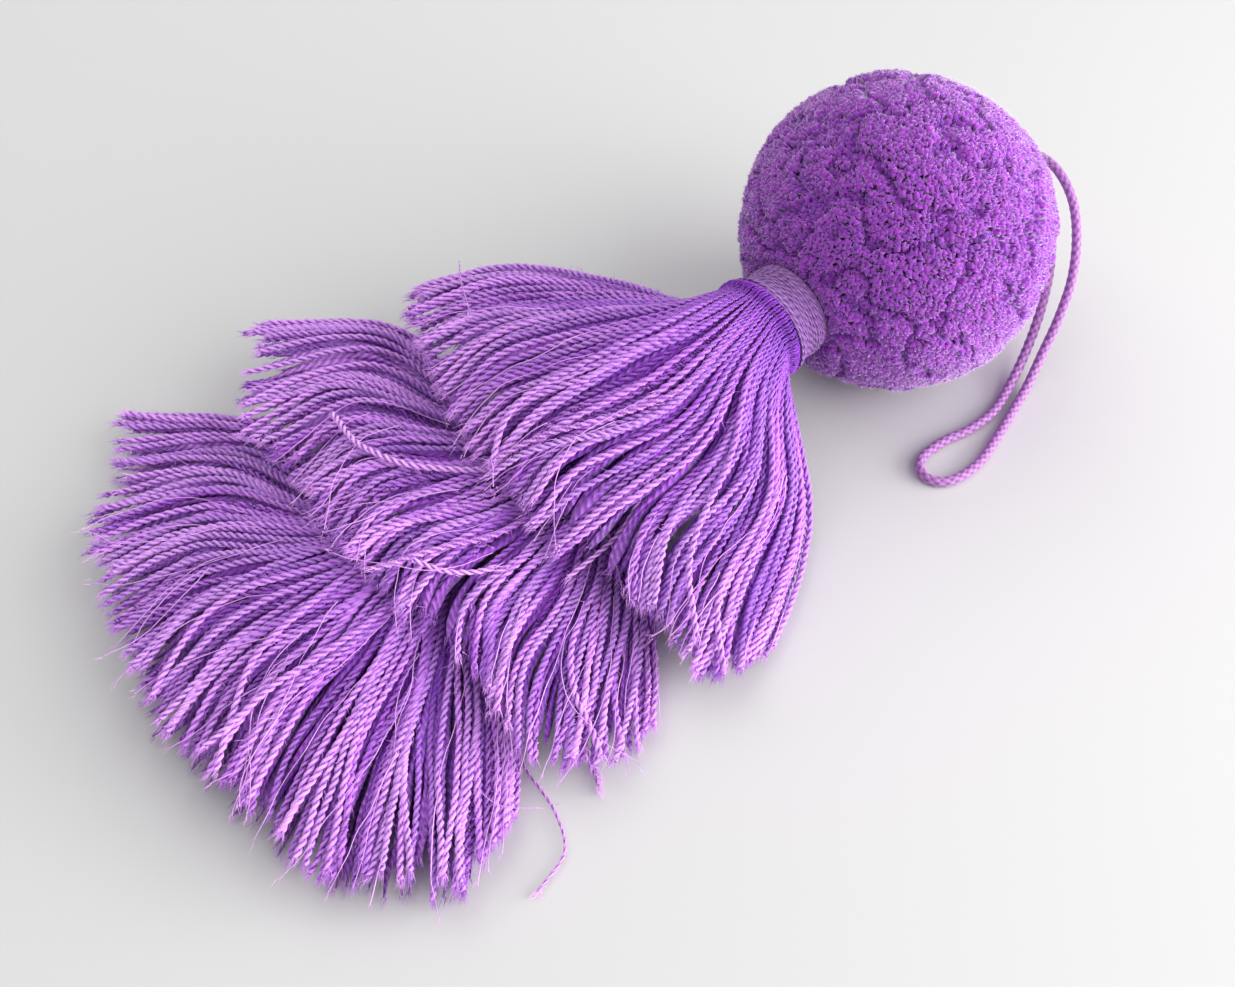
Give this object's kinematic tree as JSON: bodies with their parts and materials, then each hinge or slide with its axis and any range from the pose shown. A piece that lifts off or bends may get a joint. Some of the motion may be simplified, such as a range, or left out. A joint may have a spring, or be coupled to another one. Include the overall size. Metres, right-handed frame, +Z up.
{
  "type": "pom pom",
  "caption": "Yarn pompom with a wrapped neck, a long layered tassel and a thin hanging loop, lying on a surface.",
  "frame": {"origin": "centre of the small flat spot under the ball, on the surface the object lies on", "axes": "+X from the tassel towards the ball and the loop's root, +Z up from the surface, -Y towards the side the loop lies on"},
  "size_m": [0.2604, 0.1611, 0.0772],
  "materials": {
    "violet cut pile": "deep violet cut yarn pile, matt",
    "lavender wrapping yarn": "lavender blue yarn wound close, soft",
    "orchid tassel yarn": "two-ply twisted yarn, orchid violet, soft sheen",
    "mauve braided cord": "fine braid, mauve, soft sheen"
  },
  "bodies": {
    "root": {"pompom": "violet cut pile", "neck_wrap": "lavender wrapping yarn", "tassel_tier_1": "orchid tassel yarn", "tassel_tier_2": "orchid tassel yarn", "tassel_tier_3": "orchid tassel yarn", "hanging_loop": "mauve braided cord"}
  },
  "joints": []
}
